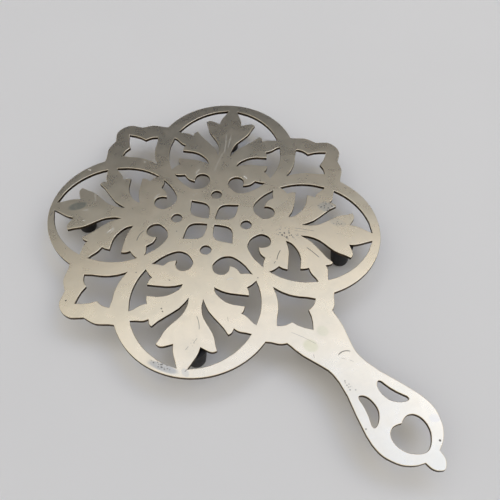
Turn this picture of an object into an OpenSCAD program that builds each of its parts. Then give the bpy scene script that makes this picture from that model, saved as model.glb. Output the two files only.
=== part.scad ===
// A pierced brass trivet with a long handle.
//
// The plate and its handle are one casting: four overlapping rings, each filled with an
// openwork acanthus leaf, a small cross at the centre, a lobe at three of the four corners
// and the handle at the fourth. A short stud is cast under each leaf tip, and a dark rubber
// foot, pushed onto each stud, carries the plate clear of the table.
//
// Z = 0 is the table. The handle points along +X, and the origin is the middle of the
// whole outline on the table, so the plate's own centre lies a little towards -X.

/* [Rings and leaves] */
// Distance from the plate's centre to the centre of each ring
ring_offset = 55.2; // [52:0.2:58]
// Radius of each ring's outer edge, as cast
ring_r = 44.8; // [41:0.2:49]
// Metal left on a corner's axis between the openings of the two rings beside it
spine_w = 6.8; // [4:0.1:10]
// Width of a ring's band at its outermost point
band_tip_w = 5.2; // [4:0.1:9]
// How far the rims of the two rings beside the handle were filed back towards the centre
near_ring_trim = 0.9; // [0:0.1:2]
// How far the rim of the ring at the far right was filed back, which leaves it the thinnest
far_ring_trim = 2.5; // [0:0.1:3]
// Distance from the plate's centre to the small round hole at the foot of each leaf
eye_offset = 20.65; // [19.5:0.05:21.5]
// Diameter of the small round hole at the foot of each leaf
eye_d = 6.3; // [4:0.1:7]

/* [Centre cross] */
// Width of the four bars that cross at the plate's centre
cross_bar_w = 4.2; // [3:0.1:7]
// Length of the pointed openings between the bars
petal_l = 17.4; // [12:0.2:20]
// Width of the pointed openings between the bars
petal_w = 11.4; // [8:0.2:13]

/* [Corners] */
// Distance from the plate's centre to the tip of each plain corner
corner_reach = 98.8; // [95:0.2:110]
// Length of the small lobe that ends each plain corner
corner_lobe_l = 7.6; // [5:0.2:10]
// Width of that lobe where it leaves the corner
corner_lobe_w = 20.8; // [16:0.2:24]
// Distance from the plate's centre to the inner point of each corner opening
window_start = 57.4; // [56:0.2:64]
// Width of each corner opening
window_w = 27; // [20:0.2:28]
// Metal left between a corner opening and the corner's tip
corner_rim_w = 8; // [5:0.2:11]

/* [Handle] */
// Distance from the plate's centre to the notch where each side of the handle starts
root_reach = 88.4; // [86:0.2:94]
// Width of the handle between those notches
root_w = 31.6; // [26:0.2:36]
// Length from those notches to the narrowest place of the handle
neck_l = 28.2; // [22:0.2:60]
// Width of the handle at its narrowest place
waist_w = 17.7; // [12:0.1:24]
// Length from the narrowest place to the widest place of the rounded end
bulb_l = 39.5; // [34:0.5:60]
// Width of the handle's rounded end at its widest place
bulb_w = 36.9; // [30:0.1:48]
// Length from the widest place to where the small tab starts
bulb_round_l = 18.3; // [17:0.1:24]
// Length of the tab at the tip
tab_l = 7.6; // [6:0.1:9]
// Width of the tab where it leaves the rounded end
tab_w = 9.5; // [6:0.1:14]

/* [Hanging hole] */
// Length of the heart-shaped hanging hole
hang_l = 16.7; // [12:0.1:18]
// Width of the hanging hole
hang_w = 19.2; // [12:0.1:22]
// Metal left between the hanging hole and the tab
hang_rim_w = 3.2; // [2:0.1:5]

/* [Thickness and feet] */
// Thickness of the plate and the handle
plate_t = 2.2; // [1.2:0.1:5]
// Height of each foot, from the table to the underside of the plate
foot_h = 16; // [8:0.5:30]
// Diameter of each foot under the plate
foot_top_d = 13.2; // [10:0.1:14]
// Diameter of each foot at the table
foot_base_d = 10.2; // [7:0.1:14]
// Radius of the rounded edge round the base of each foot
foot_edge_r = 1.4; // [0.4:0.1:2.5]
// Distance from the plate's centre to the foot on the left of the handle
left_foot_reach = 77.6; // [75:0.1:79]
// Distance from the plate's centre to the foot on the right of the handle
right_foot_reach = 80.5; // [76:0.1:81]
// Distance from the plate's centre to each of the two feet on the far side
far_foot_reach = 77.9; // [74:0.1:83]
// Angle by which the foot on the left of the handle is turned towards it from its leaf
left_foot_turn = 4.4; // [0:0.1:4.4]
// Angle by which the foot on the right of the handle is turned towards it from its leaf
right_foot_turn = 2.8; // [0:0.1:2.8]
// Diameter of the stud under each leaf tip
stud_d = 5; // [3:0.1:7]
// Length of the stud below the plate
stud_l = 7; // [3:0.1:7.5]
// Gap all round the stud and under it, inside the foot
stud_clearance = 0.05; // [0.02:0.01:0.2]

/* [Hidden] */

$fn = 96;
brass = [0.80, 0.70, 0.50];
dark_rubber = [0.10, 0.09, 0.08];

// Extra depth of a cut beyond the face that it starts from
overrun = 1;
// Most that the direction of a curved edge turns from one facet to the next, in degrees
facet_turn = 9;
// Facets round the rounded edge of a foot
edge_steps = 5;
// Angle between two given points along a ring's inner edge
ring_step = 11;
// Third entry of an outline point: the edge turns a sharp corner there, or runs on smoothly
sharp = 1;
smooth = 0;

// Directions of the four leaves, and of the three corners without the handle, from +X
leaf_angles = [45, 135, 225, 315];
plain_corner_angles = [270, 180, 90];
// Directions of the feet, in the order of the leaves
foot_angles = [
    leaf_angles[0] - left_foot_turn,
    leaf_angles[1],
    leaf_angles[2],
    leaf_angles[3] + right_foot_turn
];
// Reaches of the feet from the plate's centre, in the same order
foot_reaches = [left_foot_reach, far_foot_reach, far_foot_reach, right_foot_reach];

// How far each ring's rim was filed back, in the order of the leaves
ring_trims = [near_ring_trim, 0, far_ring_trim, near_ring_trim];

// Reach of each ring and leaf from the plate's centre, before filing
ring_reach = ring_offset + ring_r;
// Radius of a ring's inner edge, and the width of its band, away from its outermost point
ring_inner_r = ring_offset * cos(45) - spine_w / 2;
band_w = ring_r - ring_inner_r;
// Distances from the plate's centre to places along the handle
waist_reach = root_reach + neck_l;
widest_reach = waist_reach + bulb_l;
tab_reach = widest_reach + bulb_round_l;
tip_reach = tab_reach + tab_l;
// Place of the plate's centre, so that the whole outline is centred on the origin
plate_x = (corner_reach - tip_reach) / 2;
bore_r = stud_d / 2 + stud_clearance;
bore_floor = foot_h - stud_l - stud_clearance;

// Where the openings of a leaf meet the ring, as angles round the ring's own centre
scroll_angles = [126.5, 148];
branch_angles = [74, 119.5];
blade_angles = [4, 64.5];
// Where a corner's edge leaves the ring, on the same angles, and how deep in the band
corner_angle = 63.5;
corner_inset_share = 0.23;

// Points of a leaf's openings, as shares of the ring's reach. x runs out along the leaf
// and y across it. Each table starts after the opening's run along the ring.

// The curled opening beside the small hole, like a comma
scroll_shares = [
    [0.234, 0.146], [0.237, 0.123], [0.247, 0.098], [0.263, 0.080], [0.280, 0.067],
    [0.300, 0.057], [0.326, 0.060], [0.349, 0.073], [0.361, 0.094], [0.362, 0.118],
    [0.352, 0.138], [0.333, 0.149], [0.316, 0.152], [0.298, 0.150, sharp], [0.304, 0.176],
    [0.315, 0.196], [0.329, 0.209], [0.343, 0.220, sharp], [0.337, 0.250], [0.336, 0.266]
];
// The opening that runs in between the leaf's side branch and its blade
branch_shares = [
    [0.406, 0.289], [0.426, 0.266, sharp], [0.450, 0.279], [0.476, 0.282, sharp],
    [0.476, 0.240], [0.475, 0.180], [0.466, 0.130], [0.449, 0.087, sharp],
    [0.483, 0.101], [0.510, 0.129], [0.532, 0.164], [0.544, 0.208], [0.545, 0.243],
    [0.546, 0.270, sharp], [0.570, 0.267], [0.593, 0.258, sharp], [0.603, 0.281],
    [0.619, 0.303], [0.638, 0.322]
];
// The long opening between the blade's lobes and the ring
blade_shares = [
    [0.703, 0.295], [0.702, 0.270], [0.698, 0.250], [0.685, 0.228, sharp],
    [0.704, 0.224], [0.718, 0.216], [0.726, 0.204, sharp], [0.690, 0.175],
    [0.660, 0.143], [0.630, 0.110], [0.600, 0.080], [0.575, 0.063],
    [0.529, 0.039, sharp], [0.570, 0.039], [0.610, 0.047], [0.645, 0.062],
    [0.675, 0.083], [0.700, 0.103], [0.728, 0.123], [0.755, 0.136], [0.790, 0.147],
    [0.824, 0.161, sharp], [0.835, 0.140], [0.832, 0.115], [0.822, 0.092],
    [0.813, 0.071, sharp], [0.845, 0.068], [0.877, 0.057], [0.910, 0.042]
];

// Half of a pointed opening at the centre, as shares of its length and half its width
petal_shares = [
    [0, 0, sharp], [0.11, 0.35], [0.25, 0.70], [0.37, 0.93], [0.50, 1.00],
    [0.64, 0.86], [0.80, 0.49], [1, 0, sharp]
];
// Half of a corner opening, as shares of its length and half its width
window_shares = [
    [0, 0, sharp], [0.17, 0.14], [0.28, 0.29], [0.40, 0.53], [0.50, 0.79],
    [0.60, 1.00, sharp], [0.665, 0.76], [0.69, 0.43, sharp], [0.805, 0.33],
    [0.90, 0.19], [1, 0, sharp]
];
// Half of the hanging hole, from its inner cusp, as shares of its length and half its width
hang_shares = [
    [0, 0, sharp], [-0.06, 0.27], [-0.07, 0.52], [0.006, 0.79], [0.15, 0.95],
    [0.34, 1.00], [0.54, 0.935], [0.69, 0.81], [0.815, 0.615], [0.93, 0.365], [1, 0]
];
// The slot on each side of the handle, as shares of the way from the waist to the widest
// place and of half the width there
slot_shares = [
    [0.393, 0.363], [0.416, 0.407], [0.473, 0.431], [0.552, 0.466], [0.635, 0.526],
    [0.719, 0.607], [0.770, 0.652], [0.796, 0.638], [0.797, 0.560], [0.773, 0.439],
    [0.724, 0.314], [0.665, 0.222], [0.597, 0.182], [0.525, 0.176], [0.456, 0.209],
    [0.408, 0.285]
];

// Points between two given ones, as shares of the way from the first to the second

// A plain corner, from the ring to the lobe's notch
corner_side_shares = [[0.27, 0.22], [0.50, 0.36], [0.74, 0.53], [0.86, 0.70]];
// The lobe, from its notch to its tip
corner_lobe_shares = [[0.41, 0.22], [0.74, 0.41], [0.92, 0.66]];
// The handle's corner, from the ring to the notch
shoulder_shares = [[0.37, 0.36], [0.69, 0.58], [0.88, 0.78]];
// The handle's side, from the notch to the waist
neck_shares = [[0.09, 0.07], [0.20, 0.13], [0.37, 0.28], [0.54, 0.52], [0.72, 0.78], [0.86, 0.96]];
// The handle's side, from the waist to the widest place
bulb_side_shares = [[0.10, 0.03], [0.30, 0.21], [0.55, 0.57], [0.80, 0.885], [0.92, 0.98]];
// The handle's side, from the widest place to the tab
bulb_end_shares = [[0.22, 0.03], [0.44, 0.14], [0.66, 0.31], [0.82, 0.53], [0.93, 0.76]];
// The tab, from its notch to its tip
tab_shares = [[0.24, 0.02], [0.48, 0.09], [0.71, 0.29], [0.89, 0.60]];

// An outline is a closed list of points. A smooth curve runs through them, and breaks
// wherever a point is marked sharp.

function wrap(points, i) = points[(i + len(points)) % len(points)];
function place(points, i) = [wrap(points, i)[0], wrap(points, i)[1]];
function is_sharp(points, i) = wrap(points, i)[2] == sharp;

// Direction of the straight line from point i to the next
function chord(points, i) =
    let (way = place(points, i + 1) - place(points, i))
    way / norm(way);

// Direction of the curve through point i: the nearer neighbour counts more
function slope(points, i) =
    let (
        before = norm(place(points, i) - place(points, i - 1)),
        after = norm(place(points, i + 1) - place(points, i))
    )
    (chord(points, i - 1) * after + chord(points, i) * before) / (before + after);

// Direction of the curve as it leaves point i, and as it comes to the next
function leaving(points, i) =
    !is_sharp(points, i) ? slope(points, i)
    : is_sharp(points, i + 1) ? chord(points, i)
    : (3 * chord(points, i) - slope(points, i + 1)) / 2;
function arriving(points, i) =
    !is_sharp(points, i + 1) ? slope(points, i + 1)
    : is_sharp(points, i) ? chord(points, i)
    : (3 * chord(points, i) - slope(points, i)) / 2;

function angle_between(a, b) = acos(min(1, a * b / (norm(a) * norm(b))));

// Facets on the stretch after point i
function facets(points, i) =
    let (
        turn = angle_between(leaving(points, i), chord(points, i))
            + angle_between(chord(points, i), arriving(points, i))
    )
    max(1, ceil(turn / facet_turn));

// A point on the stretch after point i, at share t of the way
function on_curve(points, i, t) =
    let (
        way = norm(place(points, i + 1) - place(points, i)),
        rise = t * t * (3 - 2 * t)
    )
    place(points, i) * (1 - rise) + place(points, i + 1) * rise
        + leaving(points, i) * way * t * (1 - t) * (1 - t)
        - arriving(points, i) * way * t * t * (1 - t);

function curve(points) = [
    for (i = [0:len(points) - 1])
        let (n = facets(points, i))
            for (k = [0:n - 1])
                on_curve(points, i, k / n)
];

// Points of a table, with its shares turned into lengths
function sized(shares, x_size, y_size, x_start = 0) = [
    for (p = shares)
        [x_start + p[0] * x_size, p[1] * y_size, p[2]]
];

// A whole outline from the points on the left of the X axis
function both_sides(half) = concat(half, [
    for (i = [len(half) - 1:-1:0])
        if (half[i][1] != 0)
            [half[i][0], -half[i][1], half[i][2]]
]);

// The same points, turned about the origin
function turned(points, angle) = [
    for (p = points)
        [p[0] * cos(angle) - p[1] * sin(angle), p[0] * sin(angle) + p[1] * cos(angle), p[2]]
];

// Points between two given ones
function between(start, end, shares) = [
    for (p = shares)
        [start[0] + (end[0] - start[0]) * p[0], start[1] + (end[1] - start[1]) * p[1]]
];

// Width of a ring's band at an angle from the leaf's axis
function band_at(angle) = angle < 90 ? band_tip_w + (band_w - band_tip_w) * sin(angle) : band_w;

// A point on a ring's inner edge, and a run of them from one angle to another
function ring_point(angle, mark) = [
    ring_offset + (ring_r - band_at(angle)) * cos(angle),
    (ring_r - band_at(angle)) * sin(angle),
    mark
];
function ring_run(angles, end_mark = sharp) = concat(
    [ring_point(angles[0], sharp)],
    [
        for (angle = [angles[0] + ring_step:ring_step:angles[1] - ring_step / 2])
            ring_point(angle, smooth)
    ],
    [ring_point(angles[1], end_mark)]
);

// Where a corner's edge starts, hidden in the band of the ring to its left. The corner's
// axis lies along X, so the ring's centre lies at 45 degrees.
corner_start_r = ring_r - band_w * corner_inset_share;
corner_start = [
    ring_offset * cos(45) + corner_start_r * cos(45 - corner_angle),
    ring_offset * sin(45) + corner_start_r * sin(45 - corner_angle)
];
corner_notch = [corner_reach - corner_lobe_l, corner_lobe_w / 2];
corner_tip = [corner_reach, 0];

// A plain corner's outline, and its edge on the left of its axis, from the ring to the tip
corner_side = concat(
    [[corner_start[0], corner_start[1], sharp]],
    between(corner_start, corner_notch, corner_side_shares),
    [[corner_notch[0], corner_notch[1], sharp]],
    between(corner_notch, corner_tip, corner_lobe_shares),
    [corner_tip]
);
corner_outline = both_sides(corner_side);

// Stations along the handle
root = [root_reach, root_w / 2];
waist = [waist_reach, waist_w / 2];
widest = [widest_reach, bulb_w / 2];
tab_notch = [tab_reach, tab_w / 2];
tab_tip = [tip_reach, 0];
hang_start = tab_reach - hang_rim_w - hang_l;

// The handle's outline, and its edge on the left of its axis, from the ring to the tip
handle_side = concat(
    [[corner_start[0], corner_start[1], sharp]],
    between(corner_start, root, shoulder_shares),
    [[root[0], root[1], sharp]],
    between(root, waist, neck_shares),
    [waist],
    between(waist, widest, bulb_side_shares),
    [widest],
    between(widest, tab_notch, bulb_end_shares),
    [[tab_notch[0], tab_notch[1], sharp]],
    between(tab_notch, tab_tip, tab_shares),
    [tab_tip]
);
handle_outline = both_sides(handle_side);

// The handle and the three plain corners as one outline. Its straight edges from one to
// the next lie inside the rings.
core_outline = concat(
    handle_outline,
    [for (angle = plain_corner_angles) each turned(corner_outline, angle)]
);

// Outlines of a leaf's openings on the left of its axis
scroll_outline = concat(
    ring_run(scroll_angles, smooth), sized(scroll_shares, ring_reach, ring_reach)
);
branch_outline = concat(ring_run(branch_angles), sized(branch_shares, ring_reach, ring_reach));
blade_outline = concat(ring_run(blade_angles), sized(blade_shares, ring_reach, ring_reach));

// Outlines of the openings on a corner's axis and in the handle
petal_start = cross_bar_w / sqrt(2);
petal_outline = both_sides(sized(petal_shares, petal_l, petal_w / 2, petal_start));
window_l = corner_reach - corner_rim_w - window_start;
window_outline = both_sides(sized(window_shares, window_l, window_w / 2, window_start));
hang_outline = both_sides(sized(hang_shares, hang_l, hang_w / 2, hang_start));
slot_outline = sized(slot_shares, bulb_l, bulb_w / 2, waist_reach);

module mirrored_pair() {
    children();
    mirror([0, 1])
        children();
}

// The openings on both sides of one leaf's axis, which lies along X
module leaf_openings() {
    translate([eye_offset, 0])
        circle(d = eye_d);
    mirrored_pair() {
        polygon(curve(scroll_outline));
        polygon(curve(branch_outline));
        polygon(curve(blade_outline));
    }
}

// The openings on a corner's axis: one at the centre and one between the rings
module corner_openings() {
    polygon(curve(petal_outline));
    polygon(curve(window_outline));
}

module handle_openings() {
    polygon(curve(hang_outline));
    mirrored_pair()
        polygon(curve(slot_outline));
}

// The metal before it is pierced
module blank() {
    for (ring = [0:len(leaf_angles) - 1])
        rotate(leaf_angles[ring])
            translate([ring_offset - ring_trims[ring], 0])
                cylinder(r = ring_r, h = plate_t);
    linear_extrude(plate_t)
        polygon(curve(core_outline));
}

module openings() {
    for (angle = leaf_angles)
        rotate(angle)
            leaf_openings();
    corner_openings();
    for (angle = plain_corner_angles)
        rotate(angle)
            corner_openings();
    handle_openings();
}

// Puts a piece under a leaf tip, in this direction and at this reach from the plate's centre
module under_leaf(angle, reach) {
    translate([plate_x, 0])
        rotate(angle)
            translate([reach, 0])
                children();
}

module plate() {
    color(brass) {
        difference() {
            translate([plate_x, 0, foot_h])
                blank();
            translate([plate_x, 0, foot_h - overrun])
                linear_extrude(plate_t + 2 * overrun)
                    openings();
        }
        for (leaf = [0:len(leaf_angles) - 1])
            under_leaf(foot_angles[leaf], foot_reaches[leaf])
                translate([0, 0, foot_h - stud_l])
                    cylinder(d = stud_d, h = stud_l + plate_t);
    }
}

// A moulded rubber foot that narrows towards the table. Its lower edge is rounded, and a
// blind bore from the top takes the stud.
module foot(angle, reach) {
    edge_middle = foot_base_d / 2 - foot_edge_r;
    rounded_edge = [
        for (k = [0:edge_steps])
            let (a = 90 * k / edge_steps)
                [edge_middle + foot_edge_r * sin(a), foot_edge_r - foot_edge_r * cos(a)]
    ];
    bore = [[bore_r, foot_h], [bore_r, bore_floor], [0, bore_floor]];
    color(dark_rubber)
        under_leaf(angle, reach)
            rotate_extrude()
                polygon(concat([[0, 0]], rounded_edge, [[foot_top_d / 2, foot_h]], bore));
}

module foot_handle_left() {
    foot(foot_angles[0], foot_reaches[0]);
}

module foot_far_left() {
    foot(foot_angles[1], foot_reaches[1]);
}

module foot_far_right() {
    foot(foot_angles[2], foot_reaches[2]);
}

module foot_handle_right() {
    foot(foot_angles[3], foot_reaches[3]);
}

plate();
foot_handle_left();
foot_handle_right();
foot_far_left();
foot_far_right();
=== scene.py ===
# %% [markdown]
# A pierced brass trivet with a long handle.
#
# The real thing is a thin brass casting: four rings filled with acanthus leaves, a lobe
# at three of the corners and a handle at the fourth. It has been polished on top for
# years, so it shines softly and carries scratches, small pits and patches of tarnish.
# Four dark rubber feet, pushed onto studs underneath, hold it off the table.
#
# The trivet's lengths are written in millimetres, times `mm`, those of the room round it
# in metres, and angles in degrees. The frame is the one in which the trivet was built:
# Z = 0 is the table, the handle points along +X, and +Y is to its left.

# %% Load the built trivet
import math

import bmesh
import bpy
import numpy as np
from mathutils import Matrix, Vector


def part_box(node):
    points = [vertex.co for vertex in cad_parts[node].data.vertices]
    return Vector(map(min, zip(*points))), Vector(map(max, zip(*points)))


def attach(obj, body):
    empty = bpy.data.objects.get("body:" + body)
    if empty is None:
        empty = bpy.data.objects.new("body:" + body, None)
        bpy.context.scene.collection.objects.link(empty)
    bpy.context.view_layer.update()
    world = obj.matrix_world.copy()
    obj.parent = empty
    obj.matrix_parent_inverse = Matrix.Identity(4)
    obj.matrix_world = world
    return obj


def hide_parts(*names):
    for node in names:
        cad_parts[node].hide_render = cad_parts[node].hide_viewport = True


mm = 0.001
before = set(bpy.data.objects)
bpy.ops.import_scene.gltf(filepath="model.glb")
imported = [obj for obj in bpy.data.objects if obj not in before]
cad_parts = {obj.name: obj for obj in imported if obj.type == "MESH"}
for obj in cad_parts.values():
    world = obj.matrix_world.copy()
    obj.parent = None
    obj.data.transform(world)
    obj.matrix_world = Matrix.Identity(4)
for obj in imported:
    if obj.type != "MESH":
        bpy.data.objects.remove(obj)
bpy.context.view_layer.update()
print("pieces:", sorted(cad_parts))

# %% [markdown]
# Where things are. Everything below is placed from the boxes of the built pieces, so it
# stays right if the trivet changes. The plate's own centre isn't the origin, because the
# handle counts in the outline: it is as far from the plate's left edge as it is from
# the two corners at the sides.

# %% Measure the plate
plate_low, plate_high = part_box("plate")
foot_low, foot_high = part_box("foot_far_left")
plate_top = plate_high.z
plate_under = foot_high.z
corner_reach = plate_high.y
plate_middle = Vector((plate_low.x + corner_reach, 0, plate_top))
print("plate centre (mm):", [round(v / mm, 1) for v in plate_middle])
print("plate thickness (mm):", round((plate_top - plate_under) / mm, 2))

# %% [markdown]
# The camera stands where the photographer stood. The trivet's four rings are alike, so
# the way that they shrink towards the far side tells how far away and how high the
# camera was: about 35 cm from the trivet, looking down on it at 55 degrees.

# %% Helpers for directions and objects
def way_towards(azimuth, elevation):
    azimuth, elevation = math.radians(azimuth), math.radians(elevation)
    return (
        math.cos(elevation) * math.cos(azimuth),
        math.cos(elevation) * math.sin(azimuth),
        math.sin(elevation),
    )


def add_object(name, data):
    thing = bpy.data.objects.new(name, data)
    bpy.context.scene.collection.objects.link(thing)
    return thing


print("azimuth 90 points along:", [round(v, 3) for v in way_towards(90, 0)])

# %% Camera
camera_aim = plate_middle + Vector((30.4, 5.2, 0)) * mm
camera_distance = 354 * mm
camera_way = Vector(way_towards(-38.04, 55.0))
camera_data = bpy.data.cameras.new("camera")
camera_data.lens = 44.7
camera_data.sensor_width = 36
camera = add_object("camera", camera_data)
camera.location = camera_aim + camera_way * camera_distance
camera.rotation_euler = (-camera_way).to_track_quat("-Z", "Y").to_euler()
bpy.context.scene.camera = camera
print("camera (mm):", [round(v / mm, 1) for v in camera.location])

# %% [markdown]
# Materials are built from nodes. A few helpers keep each recipe short: one adds a node
# and sets its inputs, where a number is a setting and an output of another node is a
# link, and others are the steps that a finish is made of. The last one puts a colour, a
# roughness and a relief together as the finished surface.

# %% Helpers that add nodes
def new_material(name):
    material = bpy.data.materials.new(name)
    material.use_nodes = True
    material.node_tree.nodes.clear()
    return material


def add_node(tree, kind, inputs=None, **settings):
    node = tree.nodes.new("ShaderNode" + kind)
    for key, value in settings.items():
        setattr(node, key, value)
    for key, value in (inputs or {}).items():
        if isinstance(value, bpy.types.NodeSocket):
            tree.links.new(value, node.inputs[key])
        else:
            node.inputs[key].default_value = value
    return node


def math_step(tree, operation, first, second=0.0, clamp=False):
    inputs = {0: first, 1: second}
    node = add_node(tree, "Math", inputs, operation=operation, use_clamp=clamp)
    return node.outputs[0]


def times(tree, first, second):
    return math_step(tree, "MULTIPLY", first, second)


def strongest(tree, layers):
    most = layers[0]
    for layer in layers[1:]:
        most = math_step(tree, "MAXIMUM", most, layer)
    return most


print("node helpers ready")

# %% Helpers for the steps of a finish
def ramp_between(tree, value, low, high, out_low=0.0, out_high=1.0):
    inputs = {
        "Value": value, "From Min": low, "From Max": high, "To Min": out_low, "To Max": out_high,
    }
    return add_node(tree, "MapRange", inputs, interpolation_type="SMOOTHSTEP").outputs["Result"]


def mix_colour(tree, share, first, second):
    node = add_node(tree, "Mix", {"Factor": share}, data_type="RGBA")
    first_colour, second_colour, mixed = node.inputs[6], node.inputs[7], node.outputs[2]
    for socket, colour in ((first_colour, first), (second_colour, second)):
        if isinstance(colour, bpy.types.NodeSocket):
            tree.links.new(colour, socket)
        else:
            socket.default_value = (*colour, 1)
    return mixed


def noise(tree, place, scale, detail=3.0, roughness=0.5, distortion=0.0):
    inputs = {
        "Vector": place, "Scale": scale, "Detail": detail, "Roughness": roughness,
        "Distortion": distortion,
    }
    return add_node(tree, "TexNoise", inputs).outputs["Fac"]


def finish_surface(tree, colour, rough, height, depth, strength, more):
    relief = add_node(tree, "Bump", {"Height": height, "Distance": depth, "Strength": strength})
    surface = add_node(tree, "BsdfPrincipled", {
        "Base Color": colour, "Roughness": rough, "Normal": relief.outputs["Normal"], **more,
    })
    add_node(tree, "OutputMaterial", {"Surface": surface.outputs[0]})


print("finish helpers ready")

# %% [markdown]
# Marks. A worn surface is believable when its marks sit where use put them, so the ones
# that show are placed one by one: old dark scratches, fresh ones whose light colour is
# partly bare metal and partly a painted glint, pits, fields of fine specks, and stains,
# such as two dull round ones at the root of the handle and an oval tarnished one on a
# leaf. A stain, a pit or a field is an ellipse on the top face,
# with a centre, two half sizes and an angle, measured from the plate's centre. A scratch
# is a thin line from a start to an end that may bow to one side. Each helper returns 1
# inside its mark and fades to 0 at its edge.

# %% Helpers for marks on the top face
def measured_from(tree, place, centre, angle, half_length, half_width):
    return add_node(tree, "Mapping", {
        "Vector": place,
        "Location": (plate_middle.x + centre[0] * mm, plate_middle.y + centre[1] * mm, plate_top),
        "Rotation": (0, 0, math.radians(angle)),
        "Scale": (half_length * mm, half_width * mm, 1),
    }, vector_type="TEXTURE").outputs["Vector"]


def mark_on_top(tree, place, centre, half_sizes, angle, softness=0.25):
    moved = measured_from(tree, place, centre, angle, *half_sizes)
    distance = add_node(tree, "VectorMath", {0: moved}, operation="LENGTH").outputs["Value"]
    return ramp_between(tree, distance, 1 - softness, 1 + softness, 1, 0)


def scratch_on_top(tree, place, start, end, width, bow):
    run = Vector(end) - Vector(start)
    angle = math.degrees(math.atan2(run.y, run.x))
    middle = (Vector(start) + Vector(end)) / 2
    half_run = run.length / 2
    moved = measured_from(tree, place, middle, angle, half_run, half_run)
    parts = add_node(tree, "SeparateXYZ", {0: moved})
    along = parts.outputs["X"]
    bend = times(tree, times(tree, along, along), bow)
    across = math_step(tree, "ABSOLUTE", math_step(tree, "ADD", parts.outputs["Y"], bend))
    line = ramp_between(tree, across, 0, width / run.length, 1, 0)
    reach = ramp_between(tree, math_step(tree, "ABSOLUTE", along), 0.75, 1, 1, 0)
    return times(tree, line, reach)


print("mark helpers ready")

# %% Where the old, dark scratches are
# start, end, width and bow of each scratch, and how dark it is
SCRATCHES = [
    ((108.5, 0.4), (110.9, 7.4), 0.8, 0.37, 1.0),
    ((111.7, 0.4), (114.0, 2.2), 0.4, 0.0, 0.47),
    ((115.0, 3.0), (117.2, 4.1), 0.4, 0.0, 0.47),
    ((84.1, -10.2), (98.4, -3.8), 0.35, 0.05, 0.54),
    ((101.5, -9.2), (103.4, -10.4), 0.4, 0.0, 0.68),
    ((48.4, 32.0), (58.9, 33.1), 0.7, 0.04, 1.0),
    ((40.7, 18.9), (44.9, 12.6), 0.7, -0.1, 1.0),
    ((45.3, 11.9), (46.0, 10.0), 0.6, 0.0, 0.8),
    ((46.5, -42.9), (54.5, -46.8), 0.5, 0.12, 0.88),
    ((57.4, -50.6), (58.7, -54.3), 0.4, 0.0, 0.61),
    ((58.5, -57.0), (59.3, -59.6), 0.4, 0.0, 0.61),
    ((56.9, -30.8), (59.9, -32.3), 0.4, 0.0, 0.47),
    ((-15.4, -42.9), (-19.4, -35.0), 0.9, 0.2, 0.8),
    ((33.6, 35.1), (43.3, 43.5), 0.5, 0.0, 0.65),
    ((35.2, 33.9), (40.7, 39.0), 0.4, 0.0, 0.55),
    ((52.0, 51.9), (54.9, 54.7), 0.35, 0.0, 0.41),
    ((68.9, -66.6), (68.6, -64.8), 0.5, 0.0, 0.94),
    ((5.2, -16.8), (8.9, -19.5), 0.35, 0.0, 0.34),
    ((37.9, -17.6), (39.5, -13.4), 0.4, 0.15, 0.41),
]
print("dark scratches:", len(SCRATCHES))

# %% Where the fresh, bright scratches are
# start, end, width and bow of each scratch, and how bright it is
# these scratches are coloured near white: partly bare metal, partly a painted glint
FRESH_SCRATCHES = [
    ((-52.7, 50.8), (-38.8, 38.8), 0.7, 0.03, 0.4),
    ((-40.6, 38.6), (-30.7, 24.4), 0.6, -0.04, 0.3),
    ((-50.0, 52.5), (-41.0, 43.0), 0.52, 0.0, 0.52),
    ((-36.0, 13.7), (-38.1, 18.3), 0.6, 0.3, 1.0),
    ((-35.6, -17.5), (-36.7, -11.8), 0.55, 0.2, 1.0),
    ((-34.0, -16.9), (-35.0, -13.8), 0.5, 0.2, 0.9),
    ((-16.6, 36.9), (-13.0, 37.2), 0.9, 0.2, 1.0),
    ((-30.5, -53.3), (-31.3, -47.4), 0.75, 0.1, 0.91),
    ((-29.2, -51.5), (-30.3, -47.6), 0.6, 0.0, 0.65),
    ((-80.8, -37.0), (-78.9, -35.6), 1.2, 0.0, 0.78),
    ((-64.9, -5.9), (-63.9, -4.7), 0.9, 0.0, 0.9),
    ((-53.9, -55.9), (-52.2, -52.6), 0.6, 0.0, 0.6),
    ((-47.4, -59.4), (-46.0, -58.2), 1.0, 0.0, 0.7),
    ((-23.2, 2.9), (-22.4, 3.9), 0.8, 0.0, 0.7),
    ((-22.9, 5.0), (-22.3, 5.9), 0.7, 0.0, 0.6),
    ((-66.0, -41.0), (-55.0, -46.0), 0.52, 0.05, 0.52),
    ((38.1, -17.2), (39.4, -13.7), 0.9, 0.2, 0.78),
]
print("bright scratches:", len(FRESH_SCRATCHES))

# %% Where the pits, specks and stains are
# centre, half size and darkness of each pit
PITS = [
    ((31.3, -55.7), 0.45, 0.7), ((33.1, -56.2), 0.4, 0.7), ((19.0, -42.3), 0.4, 0.6),
    ((-4.6, -93.6), 0.5, 0.75), ((3.4, -54.1), 0.4, 0.55), ((-6.5, -20.2), 0.4, 0.5),
    ((47.8, -2.9), 0.4, 0.5), ((171.3, 8.2), 0.55, 0.85), ((146.0, -15.4), 0.45, 0.55),
    ((122.0, -6.6), 0.4, 0.5), ((124.3, -7.4), 0.4, 0.45), ((127.0, -7.8), 0.4, 0.55),
    ((128.7, -5.6), 0.4, 0.4), ((36.3, 27.5), 0.7, 0.7), ((34.8, 30.6), 0.55, 0.6),
]
# centre, half sizes, angle and strength of each field of fine specks
SPECKLED = [
    ((34.3, 60.8), (5.2, 3.8), 40, 0.95),
    ((34.5, 29.5), (6.0, 4.0), 40, 0.85),
    ((46.6, 58.0), (4.5, 2.5), 30, 0.5),
    ((24.4, 18.1), (3.0, 2.0), 0, 0.5),
    ((123.8, -6.9), (3.6, 1.8), -22, 0.35),
    ((59.0, -54.5), (4.5, 2.5), -65, 0.15),
    ((58.5, -74.2), (5.5, 1.6), 28, 0.7),
]
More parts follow.
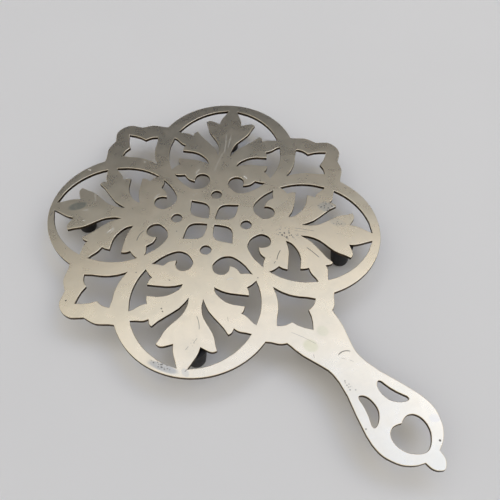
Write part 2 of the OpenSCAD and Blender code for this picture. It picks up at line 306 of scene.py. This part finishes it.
# centre, half sizes, angle, strength and tint of each stain
STAINS = [
    ((-58.6, -56.4), (5.4, 2.7), 71, 0.8, (0.33, 0.35, 0.30)),
    ((97.0, -7.3), (3.9, 3.4), 20, 0.42, (0.65, 0.63, 0.35)),
    ((94.4, 3.3), (3.2, 2.9), 20, 0.36, (0.71, 0.69, 0.46)),
    ((60.2, -73.7), (8.0, 2.1), 31, 0.68, (0.40, 0.42, 0.42)),
    ((34.0, 60.8), (5.0, 3.5), 40, 0.45, (0.42, 0.46, 0.48)),
    ((69.5, -66.6), (2.6, 1.6), 0, 0.35, (0.45, 0.48, 0.48)),
    ((162.5, 14.4), (2.8, 2.0), 60, 0.35, (0.70, 0.66, 0.60)),
    ((46.6, 58.0), (5.0, 2.6), 30, 0.25, (0.50, 0.50, 0.47)),
]
print("pits, fields of specks, stains:", len(PITS), len(SPECKLED), len(STAINS))

# %% [markdown]
# The brass. Old polished brass isn't one colour: it drifts between gold and grey where it
# was rubbed more or less, and it is finely mottled. Polish lines run in several
# directions, and the walls of the openings, which no cloth reaches, are brown with
# tarnish; their colour is also darkened to near black as painted shade and painted dark
# reflection. One painted picture could hold all this, but it would blur close up and
# would fit only this size. So the recipe mixes layers of noise instead: a slow drift, a
# fine mottle, polish lines, the placed marks, and last the tarnish of the underside and
# the tarnish and painted shade of the walls, found from the direction in which the
# surface faces.

# %% Colours of the brass
DULL_BRASS, RUBBED_BRASS = (0.84, 0.755, 0.575), (0.90, 0.79, 0.59)
GREYED_BRASS, MOTTLED_BRASS = (0.76, 0.70, 0.56), (0.66, 0.60, 0.47)
# the near-white colour of the bright scratches is partly bare metal and partly a painted glint
POLISH_LINE, DARK_MARK, BARE_METAL_AND_PAINTED_GLINT = (0.55, 0.50, 0.40), (0.08, 0.078, 0.075), (1.0, 0.98, 0.93)
# the walls' near-black brown is tarnish together with painted shade and painted dark reflection
WALL_TARNISH_AND_SHADE_DARK, WALL_TARNISH_AND_SHADE_LIGHT = (0.034, 0.024, 0.017), (0.11, 0.075, 0.047)
CAST_DARK, CAST_LIGHT = (0.30, 0.235, 0.15), (0.47, 0.385, 0.26)
print("blue to red in rubbed brass:", round(RUBBED_BRASS[2] / RUBBED_BRASS[0], 2))

# %% How fine each layer of the brass is, in features to a metre
DRIFT_SCALE, CLOUD_SCALE, MOTTLE_SCALE = 28, 95, 420
SPECK_SCALE, SPECK_FIELD_SCALE, RAGGED_SCALE = 720, 60, 520
GRIME_SCALE, WAVE_SCALE, GRAIN_SCALE = 240, 70, 1500
print("one feature of the mottle (mm):", round(1 / MOTTLE_SCALE / mm, 1))

# %% How rough the brass is, and what its marks add to that
LEAST_ROUGH, MOST_ROUGH = 0.265, 0.315
ROUGHER_STAIN, ROUGHER_FRESH, ROUGHER_WALL, ROUGHER_DARK = 0.04, 0.5, 0.22, 0.25
print("roughness of the polished top:", LEAST_ROUGH, "to", MOST_ROUGH)

# %% The polished top, before use marked it
# how much each layer takes at most
GREYNESS, MOTTLING, LINE_SHARE = 0.18, 0.10, 0.14


def polished_colour(tree, place, cloud, mottle):
    drift = noise(tree, place, DRIFT_SCALE, detail=4, roughness=0.55)
    colour = mix_colour(tree, ramp_between(tree, drift, 0.36, 0.64), DULL_BRASS, RUBBED_BRASS)
    greyness = ramp_between(tree, cloud, 0.5, 0.78, 0, GREYNESS)
    colour = mix_colour(tree, greyness, colour, GREYED_BRASS)
    mottling = ramp_between(tree, mottle, 0.35, 0.75, 0, MOTTLING)
    return mix_colour(tree, mottling, colour, MOTTLED_BRASS)


print("greyed by at most", GREYNESS, "and mottled by at most", MOTTLING)

# %% Polish lines
# direction of each set of polish lines, their length and the gap between them
POLISH_SETS = [(38, 14, 0.22), (-24, 18, 0.3), (84, 11, 0.26)]


def polish_lines(tree, place):
    sets = []
    for turn, length, gap in POLISH_SETS:
        laid = add_node(tree, "Mapping", {
            "Vector": place, "Rotation": (0, 0, math.radians(turn)),
            "Scale": (length * mm, gap * mm, length * mm),
        }, vector_type="TEXTURE").outputs["Vector"]
        lines = ramp_between(tree, noise(tree, laid, 1, detail=2), 0.60, 0.72)
        where = ramp_between(tree, noise(tree, laid, 0.35, detail=1), 0.45, 0.6)
        sets.append(times(tree, lines, where))
    return strongest(tree, sets)


print("sets of polish lines:", len(POLISH_SETS))

# %% The marks, gathered by kind
# how dark the faint specks are that lie all over the top
FAINT_SPECKS = 0.025


def scratches(tree, place, rows):
    return [
        times(tree, scratch_on_top(tree, place, start, end, width, bow), depth)
        for start, end, width, bow, depth in rows
    ]


def pits(tree, place):
    return [
        times(tree, mark_on_top(tree, place, centre, (size, size), 0), depth)
        for centre, size, depth in PITS
    ]


def fine_specks(tree, place):
    dots = add_node(tree, "TexVoronoi", {"Vector": place, "Scale": SPECK_SCALE, "Randomness": 1},
                    feature="F1").outputs["Distance"]
    dots = ramp_between(tree, dots, 0.2, 0.38, 1, 0)
    patches = noise(tree, place, SPECK_FIELD_SCALE, detail=2)
    fields = [ramp_between(tree, patches, 0.64, 0.78, 0, FAINT_SPECKS)]
    for centre, half_sizes, angle, depth in SPECKLED:
        field = mark_on_top(tree, place, centre, half_sizes, angle, softness=0.6)
        fields.append(times(tree, field, depth))
    return times(tree, dots, strongest(tree, fields))


def stains(tree, place):
    ragged = ramp_between(tree, noise(tree, place, RAGGED_SCALE, detail=3), 0.3, 0.6, 0.8, 1)
    tinted = []
    for centre, half_sizes, angle, strength, tint in STAINS:
        stain = times(tree, mark_on_top(tree, place, centre, half_sizes, angle), strength)
        tinted.append((times(tree, stain, ragged), tint))
    return tinted


print("placed marks:", sum(map(len, (SCRATCHES, FRESH_SCRATCHES, PITS, SPECKLED, STAINS))))

# %% Relief of the brass
# how much of the relief's depth each layer takes
WAVE_SHARE, GRAIN_SHARE = 0.22, 0.22
MOTTLE_DEPTH, LINE_DEPTH, SPECK_DEPTH = 0.005, 0.006, 0.012
brass_relief_depth, brass_relief_strength = 0.35 * mm, 0.8


def brass_height(tree, place, mottle, hairlines, specks, wall):
    soft_waves = noise(tree, place, WAVE_SCALE, detail=2)
    grain = noise(tree, place, GRAIN_SCALE, detail=3)
    height = times(tree, soft_waves, WAVE_SHARE)
    height = math_step(tree, "ADD", height, times(tree, mottle, MOTTLE_DEPTH))
    height = math_step(tree, "SUBTRACT", height, times(tree, hairlines, LINE_DEPTH))
    height = math_step(tree, "SUBTRACT", height, times(tree, specks, SPECK_DEPTH))
    return math_step(tree, "ADD", height, times(tree, times(tree, grain, wall), GRAIN_SHARE))


print("full depth of the brass's relief (mm):", round(brass_relief_depth / mm, 2))

# %% The whole brass recipe
def brass_material():
    material = new_material("worn_brass")
    tree = material.node_tree
    place = add_node(tree, "TexCoord").outputs["Object"]
    facing = add_node(tree, "SeparateXYZ", {0: add_node(tree, "NewGeometry").outputs["Normal"]})
    up = facing.outputs["Z"]
    mottle = noise(tree, place, MOTTLE_SCALE, detail=5, roughness=0.65)
    cloud = noise(tree, place, CLOUD_SCALE, detail=4, roughness=0.6, distortion=0.6)
    hairlines = polish_lines(tree, place)
    specks = fine_specks(tree, place)
    dark = strongest(tree, scratches(tree, place, SCRATCHES) + pits(tree, place) + [specks])
    fresh_metal_and_glint = strongest(tree, scratches(tree, place, FRESH_SCRATCHES))
    wall = ramp_between(tree, up, 0.25, 0.8, 1, 0)
    under = ramp_between(tree, up, -0.6, -0.9)

    colour = polished_colour(tree, place, cloud, mottle)
    rough = ramp_between(tree, cloud, 0.3, 0.75, LEAST_ROUGH, MOST_ROUGH)
    colour = mix_colour(tree, times(tree, hairlines, LINE_SHARE), colour, POLISH_LINE)
    for stain, tint in stains(tree, place):
        colour = mix_colour(tree, stain, colour, tint)
        rough = math_step(tree, "ADD", rough, times(tree, stain, ROUGHER_STAIN))
    colour = mix_colour(tree, dark, colour, DARK_MARK)
    # bright scratches: bare metal, lightened further as a painted glint
    colour = mix_colour(tree, fresh_metal_and_glint, colour, BARE_METAL_AND_PAINTED_GLINT)
    rough = math_step(tree, "ADD", rough, times(tree, fresh_metal_and_glint, ROUGHER_FRESH))

    # the walls turn near-black brown: tarnish together with painted shade and painted dark
    # reflection
    grime = ramp_between(tree, noise(tree, place, GRIME_SCALE, detail=4), 0.3, 0.7)
    colour = mix_colour(tree, wall, colour, mix_colour(tree, grime, WALL_TARNISH_AND_SHADE_DARK, WALL_TARNISH_AND_SHADE_LIGHT))
    colour = mix_colour(tree, under, colour, mix_colour(tree, cloud, CAST_DARK, CAST_LIGHT))
    rough = math_step(tree, "ADD", rough, times(tree, wall, ROUGHER_WALL), clamp=True)
    rough = math_step(tree, "ADD", rough, times(tree, dark, ROUGHER_DARK), clamp=True)

    height = brass_height(tree, place, mottle, hairlines, specks, wall)
    finish_surface(tree, colour, rough, height, brass_relief_depth, brass_relief_strength,
                   {"Metallic": 1.0})
    return material


brass = brass_material()
print("brass nodes:", len(brass.node_tree.nodes))

# %% [markdown]
# The plate. Its outline and openings are right as built, but every edge is knife sharp,
# and real cast and polished brass has edges rounded by the wheel, each with a thin bright
# line where it turns. A bevel would do this on a simple shape. Here it fails, because at
# the sharp leaf tips the two sides of a bevel run through each other. So the rims are
# walked inwards instead: each point of a rim moves away from whatever edge is nearest,
# until it is as far from all edges as the rounding is wide. At a tip the points of both
# sides meet and slide along its middle, which is just what a file does to a real tip.

# %% Find the nearest edges and the way from them
# the least that a length, a squared length and a distance count as, so that nothing is
# divided by zero
no_length, no_square, no_distance = 1e-9, 1e-18, 1e-12
blend_width = 0.015 * mm


def unit_rows(rows):
    return rows / np.maximum(np.sqrt((rows ** 2).sum(1)), no_length)[:, None]


def nearest_edges(points, starts, ends):
    runs = ends - starts
    squares = np.maximum((runs ** 2).sum(1), no_square)
    offset = points[:, None, :] - starts[None, :, :]
    share = np.clip((offset * runs[None, :, :]).sum(2) / squares[None, :], 0, 1)
    away = offset - share[:, :, None] * runs[None, :, :]
    distance = np.sqrt((away ** 2).sum(2)) + no_distance
    nearest = distance.min(1)
    weight = np.exp(-(distance - nearest[:, None]) / blend_width)
    push = (away / distance[:, :, None] * weight[:, :, None]).sum(1)
    return nearest, unit_rows(push)


print("edges nearly as close push together within (mm):", round(blend_width / mm, 3))

# %% Walk the rims inwards
stride = 0.04 * mm
most_strides = 160


def walk_inwards(points, inward, starts, ends, targets):
    rings = [points.copy() for _ in targets]
    here = points + inward * stride * 0.5
    waiting = np.arange(len(points))
    stage = np.zeros(len(points), int)
    for _ in range(most_strides):
        if not len(waiting):
            break
        distance, push = nearest_edges(here[waiting], starts, ends)
        for k, target in enumerate(targets):
            passed = (stage[waiting] == k) & (distance >= target)
            who = waiting[passed]
            rings[k][who] = here[who] - push[passed] * (distance[passed] - target)[:, None]
            stage[who] += 1
        here[waiting] += push * stride
        for k in range(len(targets)):
            behind = waiting[stage[waiting] <= k]
            rings[k][behind] = here[behind]
        waiting = waiting[stage[waiting] < len(targets)]
    print("rim points:", len(points), "still walking:", len(waiting))
    return rings


print("longest walk (mm):", round(stride * most_strides / mm, 2))

# %% [markdown]
# The rim of a face is every edge that only one of its flat polygons has. The flat face is
# taken out, its rim is lowered by the rounding's radius, and rings of points are laid
# between the rim and the places where the walk ended. `side` is 1 for the top and -1 for
# the underside. The gap in the middle is filled again afterwards.

# %% Round one side of the plate
# how near to a level a point counts as on it, and how far past it a wall's points may be
same_level, past_level = 0.01 * mm, 0.001 * mm


def rim_of(work, level):
    # a list keeps the faces in order, so that every run walks the rim in the same order
    flat = [f for f in work.faces if all(abs(v.co.z - level) < same_level for v in f.verts)]
    in_flat = set(flat)
    rim = []
    for face in flat:
        for corner in face.loops:
            others = [other for other in corner.edge.link_faces if other is not face]
            if not any(other in in_flat for other in others):
                rim.append((corner.vert, corner.link_loop_next.vert))
    return flat, rim


def round_side(work, level, side, radius, segments):
    flat, rim = rim_of(work, level)
    on_walls = {
        v for pair in rim for v in pair
        if all((o.co.z - level) * side < past_level for e in v.link_edges for o in e.verts)
    }
    verts = list(dict.fromkeys(v for pair in rim for v in pair if v in on_walls))
    index = {v: i for i, v in enumerate(verts)}
    bmesh.ops.delete(work, geom=flat, context="FACES")
    points = np.array([v.co.xy for v in verts])
    inward = np.zeros_like(points)
    edges = [(a, b) for a, b in rim if a in index and b in index]
    starts = np.array([a.co.xy for a, b in edges])
    ends = np.array([b.co.xy for a, b in edges])
    run = ends - starts
    left = unit_rows(np.stack([-run[:, 1], run[:, 0]], 1) * side)
    for (a, b), way in zip(edges, left):
        inward[index[a]] += way
        inward[index[b]] += way
    turns = [math.radians(90 * (k + 1) / segments) for k in range(segments)]
    targets = [radius * (1 - math.cos(turn)) for turn in turns]
    rings = walk_inwards(points, unit_rows(inward), starts, ends, targets)
    previous = verts
    for v in verts:
        v.co.z = level - side * radius
    for turn, ring in zip(turns, rings):
        height = level - side * radius * (1 - math.sin(turn))
        current = [work.verts.new((x, y, height)) for x, y in ring]
        for a, b in edges:
            i, j = index[a], index[b]
            work.faces.new((previous[i], previous[j], current[j], current[i]))
        previous = current


print("rounding ready")

# %% Round the plate's edges
top_edge_radius, under_edge_radius = 0.32 * mm, 0.2 * mm
# how near points are joined before and after rounding, and how short an edge is dropped
same_place, same_place_on_rings, no_edge = 0.001 * mm, 0.02 * mm, 0.002 * mm
# how many degrees apart faces count as one, before and after rounding, and as a sharp edge
same_plane, same_top_plane, plate_sharp_angle = 0.5, 1, 42
level_normal = 0.999


def rounded_copy(node, name):
    work = bmesh.new()
    work.from_mesh(node.data)
    bmesh.ops.remove_doubles(work, verts=work.verts, dist=same_place)
    bmesh.ops.dissolve_degenerate(work, edges=work.edges, dist=same_place)
    bmesh.ops.dissolve_limit(work, angle_limit=math.radians(same_plane), verts=work.verts,
                             edges=work.edges)
    for level, side, radius, segments in (
        (plate_top, 1, top_edge_radius, 3), (plate_under, -1, under_edge_radius, 2),
    ):
        round_side(work, level, side, radius, segments)
        bmesh.ops.remove_doubles(work, verts=work.verts, dist=same_place_on_rings)
        bmesh.ops.dissolve_degenerate(work, edges=work.edges, dist=no_edge)
        open_edges = [e for e in work.edges if len(e.link_faces) == 1]
        bmesh.ops.triangle_fill(work, edges=open_edges, use_beauty=True)
    bmesh.ops.recalc_face_normals(work, faces=work.faces)
    flat_edges = [
        e for e in work.edges if all(abs(f.normal.z) > level_normal for f in e.link_faces)
    ]
    bmesh.ops.dissolve_limit(work, angle_limit=math.radians(same_top_plane), verts=[],
                             edges=flat_edges)
    mesh = bpy.data.meshes.new(name)
    work.to_mesh(mesh)
    work.free()
    mesh.shade_smooth()
    mesh.set_sharp_from_angle(angle=math.radians(plate_sharp_angle))
    return add_object(name, mesh)


plate = rounded_copy(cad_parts["plate"], "brass_plate")
print("plate faces:", len(plate.data.polygons))

# %% [markdown]
# A rounded rim beside a large flat face shades wrongly when its points lean halfway
# between the two. Weighting each point's direction by the area of its faces keeps the top
# as flat as polish made it. Then the plate gets its brass and takes the place of the
# built one.

# %% Dress the plate
even = plate.modifiers.new("even_shading", "WEIGHTED_NORMAL")
even.keep_sharp = True
even.weight = 100
plate.data.materials.clear()
plate.data.materials.append(brass)
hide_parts("plate")
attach(plate, "root")
print("plate materials:", [m.name for m in plate.data.materials])

# %% [markdown]
# The rubber. Moulded rubber is near black with a faint cool sheen, slightly uneven where
# dust and wax have settled. A fine grain and a slow mottle are enough at this size.

# %% Rubber recipe
DEEP_RUBBER, DUSTY_RUBBER = (0.007, 0.007, 0.008), (0.024, 0.024, 0.025)
rubber_relief_depth, rubber_relief_strength = 0.15 * mm, 0.7


def rubber_material():
    material = new_material("foot_rubber")
    tree = material.node_tree
    place = add_node(tree, "TexCoord").outputs["Object"]
    bloom = noise(tree, place, 260, detail=4, roughness=0.6)
    grain = noise(tree, place, 2600, detail=3)
    dust = ramp_between(tree, bloom, 0.42, 0.75)
    colour = mix_colour(tree, dust, DEEP_RUBBER, DUSTY_RUBBER)
    rough = ramp_between(tree, bloom, 0.3, 0.7, 0.42, 0.62)
    height = math_step(tree, "ADD", times(tree, grain, 0.3), bloom)
    finish_surface(tree, colour, rough, height, rubber_relief_depth, rubber_relief_strength,
                   {"Specular IOR Level": 0.3})
    return material


rubber = rubber_material()
print("rubber nodes:", len(rubber.node_tree.nodes))

# %% [markdown]
# The feet. Each is a round peg, narrower at the table, with a well rounded lower edge and
# a blind hole on top for the stud. A lathe is the natural tool: draw half the section
# once, spin it, and set one peg in each built foot's place. Under the base is the shallow
# dimple that such feet have so that they grip.

# %% Helpers for turning
foot_sharp_angle = 50


def arc(centre, radius, start, end, steps):
    angles = [math.radians(start + (end - start) * i / steps) for i in range(steps + 1)]
    return [
        (centre[0] + radius * math.cos(angle), centre[1] + radius * math.sin(angle))
        for angle in angles
    ]


def turned(name, profile, middle, steps=64):
    work = bmesh.new()
    rings = []
    for radius, height in profile:
        if not radius:
            rings.append([work.verts.new((middle.x, middle.y, height))])
            continue
        rings.append([
            work.verts.new((middle.x + radius * math.cos(math.tau * i / steps),
                            middle.y + radius * math.sin(math.tau * i / steps), height))
            for i in range(steps)
        ])
    for lower, upper in zip(rings, rings[1:]):
        for i in range(steps):
            j = (i + 1) % steps
            corners = [lower[i % len(lower)], lower[j % len(lower)],
                       upper[j % len(upper)], upper[i % len(upper)]]
            unique = list(dict.fromkeys(corners))
            if len(unique) > 2:
                work.faces.new(unique)
    bmesh.ops.recalc_face_normals(work, faces=work.faces)
    mesh = bpy.data.meshes.new(name)
    work.to_mesh(mesh)
    work.free()
    mesh.shade_smooth()
    mesh.set_sharp_from_angle(angle=math.radians(foot_sharp_angle))
    return add_object(name, mesh)


print("points in a quarter circle of 8 steps:", len(arc((0, 0), mm, 0, 90, 8)))

# %% Section of a foot, from the middle of its base to the floor of its bore
foot_height = foot_high.z
foot_top_radius = (foot_high.x - foot_low.x) / 2
base_radius = foot_top_radius - 1.5 * mm
base_edge_radius, top_rim_radius, dimple_rim_radius = 1.4 * mm, 0.45 * mm, 0.3 * mm
bore_radius, bore_depth, bore_chamfer = 2.55 * mm, 7.1 * mm, 0.2 * mm
bore_floor = foot_height - bore_depth
dimple = [(0, 0.5 * mm), (1.4 * mm, 0.42 * mm), (2.4 * mm, 0.12 * mm)]
section = list(dimple)
section += arc((2.9 * mm, dimple_rim_radius), dimple_rim_radius, -120, -90, 3)
section += arc((base_radius - base_edge_radius, base_edge_radius), base_edge_radius, -90, -4, 8)
section += arc((foot_top_radius - top_rim_radius, foot_height - top_rim_radius),
               top_rim_radius, -2, 90, 5)
section += [(bore_radius + bore_chamfer, foot_height), (bore_radius, foot_height - bore_chamfer)]
section += [(bore_radius, bore_floor), (0, bore_floor)]
print("feet of", round(foot_height / mm, 1), "mm, top radius", round(foot_top_radius / mm, 2), "mm")

# %% Turn the feet
for node_name in ("foot_handle_left", "foot_handle_right", "foot_far_left", "foot_far_right"):
    low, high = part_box(node_name)
    foot = turned(node_name.replace("foot", "rubber_foot"), section, (low + high) / 2)
    foot.data.materials.append(rubber)
    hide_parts(node_name)
    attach(foot, "root")
    print(foot.name, "faces:", len(foot.data.polygons))

# %% [markdown]
# The floor. The trivet stands on a plain pale floor, wide enough that its edge is never
# near. It is matt, with a very slow change of tone, so that only the trivet's soft
# shadow shows on it.

# %% Floor
floor_radius, floor_roughness, floor_scale = 3, 0.8, 9
FLOOR_DULL, FLOOR_PALE = (0.795, 0.795, 0.785), (0.825, 0.825, 0.815)
floor_mesh = bpy.data.meshes.new("floor")
floor_work = bmesh.new()
bmesh.ops.create_circle(floor_work, cap_ends=True, segments=96, radius=floor_radius)
floor_work.to_mesh(floor_mesh)
floor_work.free()
floor = add_object("floor", floor_mesh)
floor_finish = new_material("pale_floor")
floor_tree = floor_finish.node_tree
floor_place = add_node(floor_tree, "TexCoord").outputs["Object"]
floor_drift = noise(floor_tree, floor_place, floor_scale)
floor_shade = mix_colour(floor_tree, floor_drift, FLOOR_DULL, FLOOR_PALE)
floor_inputs = {"Base Color": floor_shade, "Roughness": floor_roughness}
floor_surface = add_node(floor_tree, "BsdfPrincipled", floor_inputs)
add_node(floor_tree, "OutputMaterial", {"Surface": floor_surface.outputs[0]})
floor_mesh.materials.append(floor_finish)
print("floor across (m):", 2 * floor_radius)

# %% [markdown]
# The light. Polished metal shows what is round it, so the light matters as much as the
# material. The photograph's brass is dark and cool at the far side, golden in the middle
# and almost white on the handle, so the room was dark behind the trivet and bright above
# the camera. Lamps alone can't give that, because a polished face shows each of them as
# a spot. A world whose colour depends on direction can: a warm pale room all round, a
# dark bluish wall behind the trivet that starts above the horizon, a bright ceiling with
# a cooler part where a window lights it, and a calmer part beside the zenith. The last
# one also lets the brass keep its own colour when it is seen from straight above.

# %% Helper for parts of the room
world = bpy.data.worlds.new("studio")
world.use_nodes = True
sky = world.node_tree
sky.nodes.clear()
way = add_node(sky, "TexCoord").outputs["Generated"]
height_of_way = add_node(sky, "SeparateXYZ", {0: way}).outputs["Z"]


def share_towards(azimuth, elevation, outer, inner):
    inputs = {0: way, 1: way_towards(azimuth, elevation)}
    towards = add_node(sky, "VectorMath", inputs, operation="DOT_PRODUCT").outputs["Value"]
    return ramp_between(sky, towards, math.cos(math.radians(outer)),
                        math.cos(math.radians(inner)))


print("nodes that find the way each ray looks:", len(sky.nodes))

# %% World
WARM_ROOM, BLUISH_WALL = (0.60, 0.578, 0.54), (0.022, 0.030, 0.050)
BRIGHT_CEILING, WINDOW_LIGHT = (1.30, 1.25, 1.19), (0.84, 1.08, 1.70)
CALM_PART = (0.80, 0.77, 0.725)
# each part's azimuth and elevation, and the angles where it begins and where it is full
bright_ceiling = share_towards(-8, 78.4, 48.0, 43.9)
window_light = share_towards(20, 84.3, 33.9, 24)
calm_part = share_towards(-64.6, 75, 34, 24)
behind = share_towards(130, 0, 84, 60)
above_horizon = ramp_between(sky, height_of_way, 0.2, 0.4)
wall_share = times(sky, behind, above_horizon)
room = mix_colour(sky, wall_share, WARM_ROOM, BLUISH_WALL)
ceiling = mix_colour(sky, window_light, BRIGHT_CEILING, WINDOW_LIGHT)
sky_colour = mix_colour(sky, bright_ceiling, room, ceiling)
sky_colour = mix_colour(sky, calm_part, sky_colour, CALM_PART)
background = add_node(sky, "Background", {"Color": sky_colour, "Strength": 1.0})
add_node(sky, "OutputWorld", {"Surface": background.outputs[0]})
bpy.context.scene.world = world
print("world nodes:", len(sky.nodes))

# %% [markdown]
# The lamp. A world this wide hardly casts a shadow. One large lamp, a little warm, from
# the right of the picture and slightly beyond the trivet, gives the soft shadow that ties
# the trivet to the floor, and brings out the rounded edges.

# %% Lamp
lamp_distance = 1.3
lamp_data = bpy.data.lights.new("window_lamp", "AREA")
lamp_data.shape = "RECTANGLE"
lamp_data.size, lamp_data.size_y = 1.0, 0.8
lamp_data.energy = 1.4
lamp_data.color = (1.0, 0.97, 0.93)
lamp = add_object("window_lamp", lamp_data)
lamp_way = Vector(way_towards(74, 46))
lamp.location = plate_middle + lamp_way * lamp_distance
lamp.rotation_euler = (-lamp_way).to_track_quat("-Z", "Y").to_euler()
bpy.context.scene.view_settings.view_transform = "Standard"
print("lamp at (m):", [round(v, 2) for v in lamp.location])
